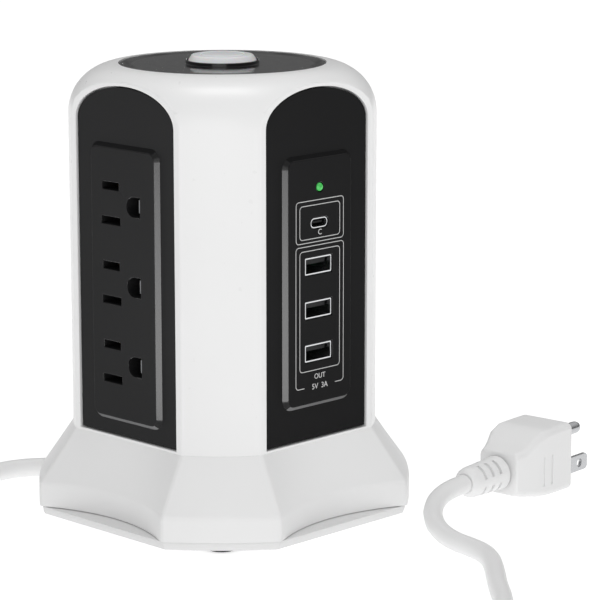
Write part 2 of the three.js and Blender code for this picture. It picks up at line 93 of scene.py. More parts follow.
# Some lights reach only some pieces. Two cards are seen only as glints, in the polished slopes round the
# plateaus and in the groove of the disc. Another is seen only as the bright band on the white shoulder. A
# light from the right models the white columns, and leaves the dark panels alone.
glinting = bpy.data.collections.new("glinting_pieces")
white_pieces = bpy.data.collections.new("white_pieces")
for name, place, aim, size, power, receivers, diffuse in (
        ("glint_card", (0, -0.55, 0.01), (0, -0.55, 1), (0.5, 0.8), 13.5, glinting, False),
        ("groove_card", (0, 1.45, 0.16), (0, 0, 0.17), (0.5, 0.05), 1.2, glinting, False),
        ("shoulder_card", (0, 0, 1.2), (0, 0, 0.16), (0.55, 0.4), 3, white_pieces, False),
        ("right_light", (1.1, -0.8, 0.3), (0, 0, 0.08), (0.5, 0.8), 2.4, white_pieces, True)):
    card = soft_light(name, place, aim, size, power)
    card.visible_diffuse = diffuse
    card.light_linking.receiver_collection = receivers
bpy.ops.mesh.primitive_plane_add(size=FLOOR_SIZE)
floor = bpy.context.object
floor.name = "floor"
print("floor", FLOOR_SIZE, "m across")

# %% The pale surround
# The sky is bright overhead and darker near the horizon, so that the black disc doesn't mirror a white wall.
HORIZON, OVERHEAD = 0.17, 0.8
world = bpy.data.worlds.new("pale_surround")
world.use_nodes = True
sky = world.node_tree
sky_place = sky.nodes.new("ShaderNodeTexCoord")
sky_split = sky.nodes.new("ShaderNodeSeparateXYZ")
sky_range = sky.nodes.new("ShaderNodeMapRange")
for name, value in (("From Min", 0.2), ("From Max", 0.6), ("To Min", HORIZON), ("To Max", OVERHEAD)):
    sky_range.inputs[name].default_value = value
sky.links.new(sky_place.outputs["Generated"], sky_split.inputs["Vector"])
sky.links.new(sky_split.outputs["Z"], sky_range.inputs["Value"])
sky.links.new(sky_range.outputs["Result"], sky.nodes["Background"].inputs["Strength"])
sky.nodes["Background"].inputs["Color"].default_value = (1, 1, 1, 1)
bpy.context.scene.world = world
bpy.context.scene.view_settings.view_transform = "Standard"
print("surround", HORIZON, "to", OVERHEAD)

# %% [markdown]
# ## Colours and nodes
#
# Colours are written as the sRGB values that a screen shows, and one function turns them to the linear
# values that the shaders mix. One more function adds a shader node with its settings and its links.

# %% Two helpers for materials


def linear(code):
    """An sRGB hex colour such as #ebebeb as linear red, green, blue and alpha."""
    shares = [int(code[i:i + 2], 16) / 255 for i in (1, 3, 5)]
    return [s / 12.92 if s <= 0.04045 else ((s + 0.055) / 1.055) ** 2.4 for s in shares] + [1.0]


def add_node(material, kind, inputs, **settings):
    """Adds a node. An input that is given a socket is linked to it, and any other input is set."""
    node = material.node_tree.nodes.new("ShaderNode" + kind)
    for name, value in settings.items():
        setattr(node, name, value)
    for name, value in inputs.items():
        if isinstance(value, bpy.types.NodeSocket):
            material.node_tree.links.new(value, node.inputs[name])
        else:
            node.inputs[name].default_value = value
    return node


def new_material(name):
    material = bpy.data.materials.new(name)
    material.use_nodes = True
    material.node_tree.nodes.clear()
    return material


def finish_material(material, inputs):
    """Adds the surface shader with these inputs, and the output."""
    surface = add_node(material, "BsdfPrincipled", inputs)
    add_node(material, "OutputMaterial", {"Surface": surface.outputs["BSDF"]})
    return material


print("mid grey", round(linear("#808080")[0], 3))

# %% [markdown]
# ## Modelling helpers
#
# Each piece starts as a primitive or as one corner, and is shaped in edit mode as by hand. The helpers
# select corners, edges or faces by their place or by their normal, and draw an outline by extruding one
# corner after another. A finished piece has its place in its mesh, and its object stays at the origin.

# %% Helpers for selecting


def activate(obj):
    bpy.ops.object.select_all(action="DESELECT")
    obj.select_set(True)
    bpy.context.view_layer.objects.active = obj


def pick(obj, kind, test):
    """Opens edit mode with the corners, edges or faces selected whose place and normal pass the test."""
    activate(obj)
    mesh = obj.data
    for items in (mesh.vertices, mesh.edges, mesh.polygons):
        items.foreach_set("select", [False] * len(items))
    if kind == "VERT":
        for corner in mesh.vertices:
            corner.select = test(corner.co / MM, corner.normal)
    elif kind == "EDGE":
        for edge in mesh.edges:
            a, b = [mesh.vertices[i].co / MM for i in edge.vertices]
            edge.select = test((a + b) / 2, (b - a).normalized())
    else:
        for face in mesh.polygons:
            face.select = test(face.center / MM, face.normal)
    bpy.context.tool_settings.mesh_select_mode = [kind == k for k in ("VERT", "EDGE", "FACE")]
    bpy.ops.object.mode_set(mode="EDIT")


def pick_all(obj):
    activate(obj)
    bpy.context.tool_settings.mesh_select_mode = (True, False, False)
    bpy.ops.object.mode_set(mode="EDIT")
    bpy.ops.mesh.select_all(action="SELECT")


def close_edit():
    bpy.ops.object.mode_set(mode="OBJECT")


def extrude(shift):
    """Extrudes what is selected in edit mode by this vector, in mm."""
    bpy.ops.mesh.extrude_region_move(TRANSFORM_OT_translate={"value": Vector(shift) * MM})


print("selecting helpers ready")

# %% Helpers for placing, joining and cleaning
MERGE_DISTANCE = 0.002
ALONG_Y, TOWARDS_FRONT = -math.pi / 2, math.pi / 2  # tilts that lay a turned piece's axis on +Y or on -Y


def apply_place(obj):
    activate(obj)
    bpy.ops.object.transform_apply(location=True, rotation=True, scale=True)


def put(obj, place=(0, 0, 0), rotation=(0, 0, 0)):
    """Turns a piece, moves it to a place in mm, and writes that into its mesh."""
    obj.rotation_euler = rotation
    obj.location = Vector(place) * MM
    apply_place(obj)


def turned_to(obj, angle):
    """Turns a piece that faces -Y to face this angle, in degrees from +X."""
    put(obj, rotation=(0, 0, math.radians(angle + 90)))


def join(obj, *others):
    activate(obj)
    for other in others:
        other.select_set(True)
    bpy.ops.object.join()


def delete(obj):
    activate(obj)
    bpy.ops.object.delete()


def clean(obj):
    """Merges doubled corners and turns every face outwards."""
    pick_all(obj)
    bpy.ops.mesh.remove_doubles(threshold=MERGE_DISTANCE * MM)
    bpy.ops.mesh.normals_make_consistent(inside=False)
    close_edit()


print("merge distance", MERGE_DISTANCE, "mm")

# %% Helpers for outlines, turned pieces and cuts


def outline(name, points, closed=True):
    """A line of corners, in mm: one corner at the first point, extruded on to each of the others."""
    bpy.ops.object.select_all(action="DESELECT")
    bpy.ops.mesh.primitive_plane_add(size=MM, location=Vector(points[0]) * MM)
    obj = bpy.context.object
    obj.name = obj.data.name = name
    bpy.context.tool_settings.mesh_select_mode = (True, False, False)
    bpy.ops.object.mode_set(mode="EDIT")
    bpy.ops.mesh.merge(type="CENTER")
    stops = list(points) + ([points[0]] if closed else [])
    for a, b in zip(stops, stops[1:]):
        extrude(Vector(b) - Vector(a))
    if closed:
        bpy.ops.mesh.select_all(action="SELECT")
        bpy.ops.mesh.remove_doubles(threshold=MERGE_DISTANCE * MM)
    close_edit()
    apply_place(obj)
    return obj


def slab(name, points, thickness):
    """Fills a closed outline and pulls it out along the vector, in mm."""
    obj = outline(name, points)
    pick_all(obj)
    bpy.ops.mesh.edge_face_add()
    extrude(thickness)
    close_edit()
    clean(obj)
    return obj


def turn(name, profile, steps=96, place=(0, 0, 0), tilt=0.0):
    """Spins a profile of (radius, height) about Z, closing one that is off the axis, and tilts it about X."""
    ring = profile[0][0] > 0
    obj = outline(name, [(r, 0, z) for r, z in profile], closed=ring)
    pick_all(obj)
    bpy.ops.mesh.spin(steps=steps, angle=2 * math.pi, center=(0, 0, 0), axis=(0, 0, 1))
    close_edit()
    clean(obj)
    put(obj, place, (tilt, 0, 0))
    return obj


def rod(name, radius, low, high, steps, place=(0, 0, 0), tilt=0.0):
    """A round rod for cutting a hole or as a post."""
    return turn(name, [(0, low), (radius, low), (radius, high), (0, high)], steps, place, tilt)


def block(name, low, high):
    """A box from its low corner to its high corner, in mm, for cutting or to be shaped further."""
    low, high = Vector(low) * MM, Vector(high) * MM
    bpy.ops.object.select_all(action="DESELECT")
    bpy.ops.mesh.primitive_cube_add(size=1, location=(low + high) / 2, scale=high - low)
    obj = bpy.context.object
    obj.name = obj.data.name = name
    apply_place(obj)
    return obj


def combine(obj, tool, operation="DIFFERENCE"):
    """Cuts the tool out of the piece, or joins the two, and deletes the tool."""
    activate(obj)
    modifier = obj.modifiers.new("combine", "BOOLEAN")
    modifier.operation = operation
    modifier.solver = "EXACT"
    modifier.object = tool
    bpy.ops.object.modifier_apply(modifier=modifier.name)
    delete(tool)


def bevel(obj, test, width, segments=3, kind="EDGE"):
    pick(obj, kind, test)
    bpy.ops.mesh.bevel(offset=width * MM, segments=segments, affect="EDGES", clamp_overlap=False)
    close_edit()


def copy_of(obj, name, place=(0, 0, 0)):
    """A copy with its own mesh, moved by this vector in mm."""
    activate(obj)
    bpy.ops.object.duplicate(linked=False)
    twin = bpy.context.object
    twin.name = twin.data.name = name
    put(twin, place)
    return twin


def copy_to_side(obj, name, angle):
    twin = copy_of(obj, name)
    turned_to(twin, angle)
    return twin


def done(obj, material, body, slot, *nodes, smooth=35):
    """Gives a piece its shading, its material and its body, and hides the CAD nodes that it stands for."""
    activate(obj)
    if smooth:
        bpy.ops.object.shade_smooth_by_angle(angle=math.radians(smooth))
        even = obj.modifiers.new("even", "WEIGHTED_NORMAL")
        even.keep_sharp = True
        bpy.ops.object.modifier_apply(modifier="even")
    obj.data.materials.clear()
    obj.data.materials.append(material)
    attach(obj, body)
    if nodes:
        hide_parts(*nodes)
    print(obj.name, len(obj.data.polygons), "faces")


print("piece helpers ready")

# %% [markdown]
# ## The supply cord
#
# The cord is a round 7.2 mm PVC lead with three conductors. It comes out of the rear lobe of the foot, goes
# into a tied coil behind the tower, and lies round the tower to the plug at its right. A curve with a round
# bevel is the right tool: its points are the route, and its thickness is one number. The coil's turns lie
# on and beside each other, as five strands of a bundle that trade places once a turn.

# %% The route of the cord
CORD_DIAMETER = 7.2
CORD_REST = 3.68  # height of its middle where it lies on the floor
COIL_RADIUS, COIL_Y, COIL_HEIGHT = 39, 176.8, 10.95
STRAND_OFFSET = 6.12
FIRST_ANGLE, LAST_ANGLE, FIRST_STRAND, POINTS_A_TURN = -65.2, 1620, -67, 24
EXIT_HEIGHT = 9.4
EXIT = (0, 103.3, EXIT_HEIGHT)
PLUG_END, PLUG_AXIS = (90, -15), 11.5


def angles_between(first, last, steps):
    """Even angles from first to last, both included, as radians from degrees."""
    return [math.radians(first + (last - first) * i / steps) for i in range(steps + 1)]


def bend(cx, cy, radius, first, last, steps):
    """Points along a bend that is seen from above, in mm."""
    return [(cx + radius * math.cos(a), cy + radius * math.sin(a), CORD_REST)
            for a in angles_between(first, last, steps)]


def lifted(points, heights):
    return [(x, y, z) for (x, y, _), z in zip(points, heights)]


def coil_point(angle):
    """A point of the coil. With each turn the cord moves on by a fifth of the way round the bundle."""
    strand = math.radians(FIRST_STRAND + (angle - FIRST_ANGLE) / 5)
    r = COIL_RADIUS + STRAND_OFFSET * math.cos(strand)
    a = math.radians(angle)
    return (r * math.cos(a), COIL_Y + r * math.sin(a), COIL_HEIGHT + STRAND_OFFSET * math.sin(strand))


lead = [EXIT, (0, 108, 9.2)]
lead += lifted(bend(30, 112, 30, 180, 125, 4), (8.8, 7.9, 6.9, 6.1, 5.5))
count = round((LAST_ANGLE - FIRST_ANGLE) / 360 * POINTS_A_TURN)
coil = [coil_point(FIRST_ANGLE + (LAST_ANGLE - FIRST_ANGLE) * i / count) for i in range(count + 1)]
run = [(-39, 158, 4.1), (-39, 141, CORD_REST), (-39, 120, CORD_REST), (-39, 95, CORD_REST)]
run += bend(-69, 70, 30, 0, -90, 4)
run += bend(-69, 10, 30, 90, 180, 4)[1:]
run += [(-99, y, CORD_REST) for y in (-25, -65, -100)]
run += bend(-65, -138, 34, 180, 270, 4)
run += [(-30, -172, CORD_REST), (15, -172, CORD_REST), (46, -171.5, CORD_REST)]
run += bend(61, -137.6, 34, -90, 0, 4)
run += [(95, -114, CORD_REST)]
run += bend(61, -90.2, 34, 0, 35, 3)
run += lifted(bend(110.9, -43, 34, 215, 140, 5), (3.9, 5, 6.7, 8.6, 10.2, 11.2))
run += [(*PLUG_END, PLUG_AXIS)]
route = [Vector(p) * MM for p in lead + coil + run]
print(len(lead), "lead points,", len(coil), "coil points,", len(run), "run points")

# %% The cord as a curve
bpy.ops.object.select_all(action="DESELECT")
bpy.ops.curve.primitive_bezier_curve_add(location=(0, 0, 0))
cord = bpy.context.object
cord.name = "supply_cord"
spline = cord.data.splines[0]
spline.bezier_points.add(len(route) - len(spline.bezier_points))
for point, place in zip(spline.bezier_points, route):
    point.co = place
    point.handle_left_type = point.handle_right_type = "AUTO"
cord.data.dimensions = "3D"
cord.data.resolution_u = 5
cord.data.bevel_depth = CORD_DIAMETER / 2 * MM
cord.data.bevel_resolution = 5
cord.data.use_fill_caps = True

# %% [markdown]
# ## Studio floor
#
# The floor stands for a lit table: a pale matt sheet that glows a little, which takes the edge off every
# shadow.

# %% The floor's material


def clouded(name, colour, shade, size, detail=1.0):
    """A new material with a colour that drifts between two, in clouds of this size in mm."""
    material = new_material(name)
    place = add_node(material, "TexCoord", {}).outputs["Object"]
    cloud = add_node(material, "TexNoise", {"Vector": place, "Scale": 1 / (size * MM), "Detail": detail})
    tint = add_node(material, "Mix", {"Factor": cloud.outputs["Fac"], "A": linear(colour),
                                      "B": linear(shade)}, data_type="RGBA")
    return material, place, tint.outputs["Result"]


floor_sheet, _, floor_tint = clouded("lit_table_sheet", "#d0d0d0", "#d3d3d3", 400)
finish_material(floor_sheet, {"Base Color": floor_tint, "Roughness": 0.9, "Specular IOR Level": 0.1,
                              "Emission Color": (1, 1, 1, 1), "Emission Strength": 0.62})
floor.data.materials.append(floor_sheet)
print("floor colour", floor_sheet.name)

# %% [markdown]
# ## Plastics
#
# The tower is moulded from flame-retardant ABS. A polished mould leaves the white pieces satin, with a very
# faint ripple and no grain. The dark socket panels come from a spark-eroded mould, whose fine pits make
# them matt. All of them are one recipe: a base colour that drifts by a hair, a roughness that varies, and a
# bump of the right size.

# %% A recipe for moulded plastic
DRIFT = 40  # a moulding's colour changes over about this many mm


def moulded(name, colour, shade, roughness, grain, depth, specular=0.5, spread=0.06):
    """grain is the real size of the surface's bumps in mm, and depth their height in mm."""
    material, place, tint = clouded(name, colour, shade, DRIFT, 2.0)
    fine = add_node(material, "TexNoise", {"Vector": place, "Scale": 1 / (grain * MM), "Detail": 3.0})
    rough = add_node(material, "MapRange", {"Value": fine.outputs["Fac"], "To Min": roughness - spread,
                                            "To Max": roughness + spread})
    bump = add_node(material, "Bump", {"Height": fine.outputs["Fac"], "Strength": 0.5,
                                       "Distance": depth * MM})
    return finish_material(material, {"Base Color": tint, "Roughness": rough.outputs["Result"],
                                      "Normal": bump.outputs["Normal"], "IOR": 1.53,
                                      "Specular IOR Level": specular})


print("colour drift over", DRIFT, "mm")

# %% The plastics
# Satin ABS: bright, with soft broad reflections. The mould's ripple is 3 mm long and barely there.
white_abs = moulded("satin_white_moulded_abs", "#e2e2e2", "#e5e5e5", 0.3, 3.0, 0.02, specular=0.35)
# The foot is a touch greyer than the tower, with the same satin surface.
foot_abs = moulded("satin_foot_moulded_abs", "#dfdfdf", "#e2e2e2", 0.42, 3.0, 0.02, specular=0.35)
# The base plate is left matt from the mould, so it looks flat and a little darker.
plate_abs = moulded("matt_grey_moulded_abs", "#d9d9d9", "#dddddd", 0.6, 1.2, 0.03)
# Spark-eroded grain is about 0.1 mm, drawn at 0.5 mm so that it shows as a faint tooth on the dark panels.
panel_abs = moulded("spark_grained_black_abs", "#101011", "#161617", 0.5, 0.5, 0.02, specular=0.14)
# The charging panel has a finer grain, and is a shade darker than the socket panels: painted shade.
painted_shade_charging_abs = moulded("painted_shade_fine_grained_black_abs", "#0d0d0e", "#131314", 0.5, 0.4, 0.015, specular=0.08)
# The slopes round the plateaus are polished, so they mirror a light as a bright line.
slope_abs = moulded("polished_black_abs_slope", "#0b0b0c", "#101011", 0.22, 0.8, 0.004, specular=0.22,
                    spread=0.03)
# The lower slopes get a painted highlight, paler than the rest, for the bright line light draws along them.
painted_highlight_slope_abs = moulded("painted_highlight_black_abs_slope", "#646465", "#7a7a7b", 0.4, 1.5, 0.02)
# The upper slopes get painted shade: a darker, duller copy that turns no light from above and reads as a dark
# line.
painted_shade_slope_abs = moulded("painted_shade_dull_black_abs_slope", "#0a0a0b", "#0f0f10", 0.6, 0.8, 0.02, specular=0.08)
# Inner pieces are glass-filled nylon, dull with fibres that show as a coarser mottle.
inner_nylon = moulded("glass_filled_black_nylon", "#151516", "#1e1e1f", 0.62, 0.8, 0.04, specular=0.4)
light_nylon = moulded("glass_filled_pale_nylon", "#cfcfd0", "#dadadb", 0.55, 0.8, 0.04)
# PVC overmoulding on the plug is soft and slightly waxy, with a fine even tooth.
plug_pvc = moulded("overmoulded_white_pvc", "#e5e5e5", "#e9e9e9", 0.42, 0.9, 0.02)
cord_pvc = moulded("extruded_white_pvc_jacket", "#e6e6e6", "#ebebeb", 0.38, 1.6, 0.02)
# Rubber feet are dull and dark grey, with a dry grain.
foot_rubber = moulded("moulded_grey_rubber", "#3f3f40", "#4c4c4d", 0.85, 0.6, 0.06, specular=0.3)
# Epoxy-dipped varistors are glossy and uneven, as a dip leaves them.
varistor_epoxy = moulded("dipped_blue_epoxy", "#24549a", "#2f64ae", 0.28, 4.0, 0.15)
# The board's green solder mask lies over a 0.5 mm glass weave.
board_laminate = moulded("green_glass_laminate", "#1f5a38", "#2c6e47", 0.4, 0.5, 0.02)
print("plastics", len(bpy.data.materials))

# %% [markdown]
# ## Polished disc, button and lens
#
# The black disc on top is polished, and turning marks in its mould leave fine rings about the button, which
# spread a highlight into a radial sheen. The button is milky polycarbonate, which light goes a little way
# into. The lens is clear green and lit from behind.

# %% Disc, button and lens materials
# Real turning marks are 0.05 mm apart. They are drawn 5.73 mm apart, as soft rings that show. A wave texture
# repeats every pi / 10 of its own lengths.
RING_SPACING = 5.73
disc_gloss = new_material("turned_mould_gloss_black_abs")
disc_place = add_node(disc_gloss, "TexCoord", {}).outputs["Object"]
disc_rings = add_node(disc_gloss, "TexWave", {"Vector": disc_place,
                                              "Scale": math.pi / 10 / (RING_SPACING * MM),
                                              "Distortion": 0.4, "Detail": 1.0},
                      wave_type="RINGS", rings_direction="Z").outputs["Fac"]
disc_rough = add_node(disc_gloss, "MapRange", {"Value": disc_rings, "To Min": 0.1, "To Max": 0.16})
disc_bump = add_node(disc_gloss, "Bump", {"Height": disc_rings, "Strength": 0.12, "Distance": 0.01 * MM})
finish_material(disc_gloss, {"Base Color": linear("#161617"), "Roughness": disc_rough.outputs["Result"],
                             "Normal": disc_bump.outputs["Normal"], "IOR": 1.5})

button_milk, _, button_tint = clouded("milky_moulded_polycarbonate", "#dfe1e3", "#ebecee", 6, 2.0)
finish_material(button_milk, {"Base Color": button_tint, "Roughness": 0.24, "IOR": 1.58,
                              "Subsurface Weight": 0.25, "Subsurface Scale": 4 * MM})

lens_green, _, lens_tint = clouded("clear_green_lens", "#157a2a", "#58dc6c", 1.2)
finish_material(lens_green, {"Base Color": lens_tint, "Roughness": 0.12, "IOR": 1.5,
                             "Emission Color": lens_tint, "Emission Strength": 0.3})
print("disc, button and lens ready")

# %% [markdown]
# ## Metals
#
# The plug's blades are nickel-plated brass, polished along their length. The USB shells are drawn and
# plated steel, the contact strips are stamped brass, and screws and spring are zinc plated. Each has fine
# scratches or mottling in its roughness, because a perfectly even metal looks painted.

# %% A recipe for metals


def metal(name, colour, shade, roughness, scratch, spread=0.08):
    """scratch is the size of the surface's marks in mm along X, Y and Z."""
    material = new_material(name)
    place = add_node(material, "TexCoord", {}).outputs["Object"]
    stretched = add_node(material, "Mapping", {"Vector": place, "Scale": [1 / (s * MM) for s in scratch]})
    marks = add_node(material, "TexNoise", {"Vector": stretched.outputs["Vector"], "Scale": 1.0,
                                            "Detail": 3.0}).outputs["Fac"]
    tint = add_node(material, "Mix", {"Factor": marks, "A": linear(colour), "B": linear(shade)},
                    data_type="RGBA")
    rough = add_node(material, "MapRange", {"Value": marks, "To Min": roughness - spread,
                                            "To Max": roughness + spread})
    bump = add_node(material, "Bump", {"Height": marks, "Strength": 0.3, "Distance": 0.01 * MM})
    return finish_material(material, {"Base Color": tint.outputs["Result"], "Metallic": 1.0,
                                      "Roughness": rough.outputs["Result"], "Normal": bump.outputs["Normal"]})


plug_nickel = metal("polished_nickel_plate", "#b4b5b7", "#c4c5c7", 0.26, (0.4, 6, 0.4))
leaf_nickel = metal("dull_nickel_contact_leaf", "#77787a", "#8a8b8d", 0.4, (1, 1, 3))
drawn_steel = metal("drawn_plated_steel", "#cfd0d2", "#dcdddf", 0.22, (0.5, 0.5, 3))
stamped_brass = metal("stamped_brass_strip", "#b8924a", "#cba960", 0.34, (1, 1, 5))
zinc_plate = metal("bright_zinc_plate", "#9fa2a6", "#b3b6ba", 0.36, (1.5, 1.5, 1.5))
print("metals ready")

# %% [markdown]
# ## Strap and printing ink
#
# The tie is a woven hook-and-loop strap, whose loops are a millimetre apart. The thin lines on the charging
# panel are pad-printed in a light grey ink that is a little uneven.

# %% Strap and ink materials
tie_weave = new_material("woven_hook_and_loop_strap")
tie_place = add_node(tie_weave, "TexCoord", {}).outputs["Object"]
tie_loops = add_node(tie_weave, "TexVoronoi", {"Vector": tie_place, "Scale": 1 / (1.0 * MM)})
tie_tint = add_node(tie_weave, "Mix", {"Factor": tie_loops.outputs["Distance"], "A": linear("#2c2c2e"),
                                       "B": linear("#4a4a4c")}, data_type="RGBA")
tie_bump = add_node(tie_weave, "Bump", {"Height": tie_loops.outputs["Distance"], "Strength": 0.8,
                                        "Distance": 0.3 * MM})
finish_material(tie_weave, {"Base Color": tie_tint.outputs["Result"], "Roughness": 0.85,
                            "Normal": tie_bump.outputs["Normal"], "Sheen Weight": 0.3})
ink = moulded("pad_printed_grey_ink", "#c4c4c4", "#dadada", 0.5, 0.8, 0.01)
print("materials", len(bpy.data.materials))

# %% [markdown]
# ## Tower housing
#
# The housing is one ABS moulding: a round body whose four sides are sliced flat, with a shoulder that
# rounds over to the seat of the top disc. Slicing a turned form is how the real shape reads, and it gives
# each flat its arched top for nothing. The windows for the panels are cut through the flats, and their
# edges and the flats' edges get small bevels, which catch the light as thin bright lines.

# %% The outer form
BODY_BOTTOM, BODY_TOP, SHOULDER_START = 33.4, 168.6, 150.6
BODY_RADIUS, FLAT_REACH, WALL = 57, 49.2, 2.2
SEAT_RADIUS, SEAT_HEIGHT = 38.4, 165.6
FLAT_ANGLES = (-135, -45, 45, 135)
DIAGONAL = math.sqrt(0.5)


def shoulder(start_radius, end_radius, low, high, steps):
    """The rounded part of a profile, a quarter of an ellipse."""
    return [(end_radius + (start_radius - end_radius) * math.cos(a), low + (high - low) * math.sin(a))
            for a in angles_between(0, 90, steps)]


def slice_flats(obj, reach):
    for angle in FLAT_ANGLES:
        normal = Vector((math.cos(math.radians(angle)), math.sin(math.radians(angle)), 0))
        pick_all(obj)
        bpy.ops.mesh.bisect(plane_co=normal * reach * MM, plane_no=normal, use_fill=True, clear_outer=True)
        close_edit()


def flat_distance(place):
    """How far out a place lies towards the nearest flat, in mm."""
    return (abs(place.x) + abs(place.y)) * DIAGONAL


def along_flat(place):
    """How far a place lies from the middle line of its flat, in mm."""
    return (abs(place.x) - abs(place.y)) * DIAGONAL


body_profile = [(0, BODY_BOTTOM), (BODY_RADIUS, BODY_BOTTOM)]
body_profile += shoulder(BODY_RADIUS, SEAT_RADIUS, SHOULDER_START, BODY_TOP, 18)
body_profile += [(SEAT_RADIUS, SEAT_HEIGHT), (0, SEAT_HEIGHT)]
housing = turn("tower_housing", body_profile, steps=128)
slice_flats(housing, FLAT_REACH)
clean(housing)
bevel(housing, lambda p, d: abs(flat_distance(p) - FLAT_REACH) < 0.01 and p.z > BODY_BOTTOM + 0.1, 0.45)
print("housing", len(housing.data.polygons), "faces")

# %% The inside, the seat's hole and the windows
WINDOW_HALF, WINDOW_BOTTOM, WINDOW_ARCH = 26.1, 34.3, 13.2


def arch(half, bottom, rise, reach):
    """A window's outline on the side that faces -Y: straight sides under a flat elliptical arch."""
    top = [(half * math.cos(a), -reach, SHOULDER_START + rise * math.sin(a))
           for a in angles_between(0, 180, 40)]
    return [(-half, -reach, bottom), (half, -reach, bottom)] + top


inside_profile = [(0, 32), (BODY_RADIUS - WALL, 32)]
inside_profile += shoulder(BODY_RADIUS - WALL, 36, 148.5, 163.9, 10) + [(0, 163.9)]
inside = turn("inside", inside_profile, steps=64)
slice_flats(inside, FLAT_REACH - WALL - 0.1)
combine(housing, inside)
combine(housing, rod("seat_hole", 33, 160, 167, 64))
window = slab("window", arch(WINDOW_HALF, WINDOW_BOTTOM, WINDOW_ARCH, 46.1), (0, -14, 0))
for angle in FLAT_ANGLES[1:]:
    combine(housing, copy_to_side(window, "window_copy", angle))
turned_to(window, FLAT_ANGLES[0])
combine(housing, window)


def on_window_edge(p, d):
    """Whether an edge lies on the rim that a window cuts into its flat. Its direction d doesn't matter."""
    if abs(flat_distance(p) - FLAT_REACH) > 0.01:
        return False
    u = abs(along_flat(p))
    if p.z < SHOULDER_START:
        return u < WINDOW_HALF + 0.1 and p.z > WINDOW_BOTTOM - 0.1
    return (u / (WINDOW_HALF + 0.1)) ** 2 + ((p.z - SHOULDER_START) / (WINDOW_ARCH + 0.1)) ** 2 < 1


bevel(housing, on_window_edge, 0.3, segments=2)
done(housing, white_abs, "tower", "white_housing", "tower_shell", smooth=28)
white_pieces.objects.link(housing)

# %% [markdown]
# ## Socket panels
#
# Each panel is a dark ABS plate that fills its window, a little behind the flat, with a raised plateau for
# the outlets. It is drawn once facing -Y, where up is up and right is right, and turned to its side at the
# end. The plateau is a box with rounded corners whose front is inset and pushed out, which makes its 45
# degree slopes.

# %% The blank of a panel
PANEL_BACK, PANEL_FACE, PLATEAU_RISE, PLATEAU_CORNER, GAP = 46.4, 48.6, 1.6, 4.5, 0.5
PLATEAU_FACE = PANEL_FACE + PLATEAU_RISE


def panel_blank(name, half, bottom, top):
    plate = slab(name, arch(WINDOW_HALF - GAP, WINDOW_BOTTOM + GAP, WINDOW_ARCH - GAP, PANEL_BACK),
                 (0, PANEL_BACK - PANEL_FACE, 0))
    bevel(plate, lambda p, d: abs(p.y + PANEL_FACE) < 0.01, 0.25, segments=2)
    combine(plate, block("rear_plate", (-26.6, -PANEL_BACK - 0.2, 37), (26.6, -44.4, 149)), "UNION")
    rise = block("plateau", (-half, -PANEL_FACE, bottom), (half, -PANEL_FACE + 0.8, top))
    bevel(rise, lambda p, d: abs(d.y) > 0.9, PLATEAU_CORNER, segments=8)
    pick(rise, "FACE", lambda p, n: n.y < -0.9)
    bpy.ops.mesh.inset(thickness=PLATEAU_RISE * MM, depth=PLATEAU_RISE * MM)
    close_edit()
    bevel(rise, lambda p, d: abs(p.y + PLATEAU_FACE) < 0.01, 0.25, segments=2)
    combine(plate, rise, "UNION")
    return plate


SOCKET_PLATEAU = (18.4, 40.2, 142.8)  # half its width, its bottom and its top
panel = panel_blank("ac_panel", *SOCKET_PLATEAU)
print("blank", len(panel.data.polygons), "faces")

# %% [markdown]
# ## Outlets
#
# Each outlet has two flat slots, one wider than the other, and a D-shaped earth hole. The slots are cut
# through the whole panel, so the contact strips behind them show in the dark, and their rims are rounded by
# a fraction of a millimetre to guide a plug in.

# %% Slots and earth holes
OUTLET_HEIGHTS = (121.1, 91.8, 62.4)
SLOT_X, SLOT_SPACING, SLOT_HALF_WIDTH = -6.4, 6.35, 1.4
EARTH_X, EARTH_RADIUS, EARTH_FLAT = 5.8, 3.6, 3.4
CUT_FROM, CUT_TO = -52, -43  # the cuts for the openings run past both faces of a panel


def earth_outline(z):
    curve = [(EARTH_X + EARTH_RADIUS * math.cos(a), CUT_TO, z + EARTH_RADIUS * math.sin(a))
             for a in angles_between(90, 270, 16)]
    flat = [(EARTH_X + EARTH_FLAT, CUT_TO, z + side * EARTH_RADIUS) for side in (1, -1)]
    return flat[:1] + curve + flat[1:]


for z in OUTLET_HEIGHTS:
    for half, middle in ((4.4, z + SLOT_SPACING), (5, z - SLOT_SPACING)):
        combine(panel, block("slot", (SLOT_X - half, CUT_FROM, middle - SLOT_HALF_WIDTH),
                             (SLOT_X + half, CUT_TO, middle + SLOT_HALF_WIDTH)))
    combine(panel, slab("earth_hole", earth_outline(z), (0, CUT_FROM - CUT_TO, 0)))
bevel(panel, lambda p, d: abs(p.y + PLATEAU_FACE) < 0.01 and -11.6 < p.x < 9.4 and abs(d.y) < 0.1
      and min(abs(p.z - z) for z in OUTLET_HEIGHTS) < 8, 0.3, segments=2)
print("panel", len(panel.data.polygons), "faces")

# %% A panel on each of the three socket sides
SOCKET_SIDES = {"front_left": -135, "rear_left": 135, "rear_right": 45}
SLOPE_TILT = 0.6  # a slope whose normal points up or down by more than this is the upper or the lower one


def slope_between(normal, p):
    """Whether a face leans between the direction of its flat and the directions along it."""
    out = Vector((math.copysign(1, p.x), math.copysign(1, p.y), 0)) * DIAGONAL
    return 0.3 < normal.dot(out) < 0.95


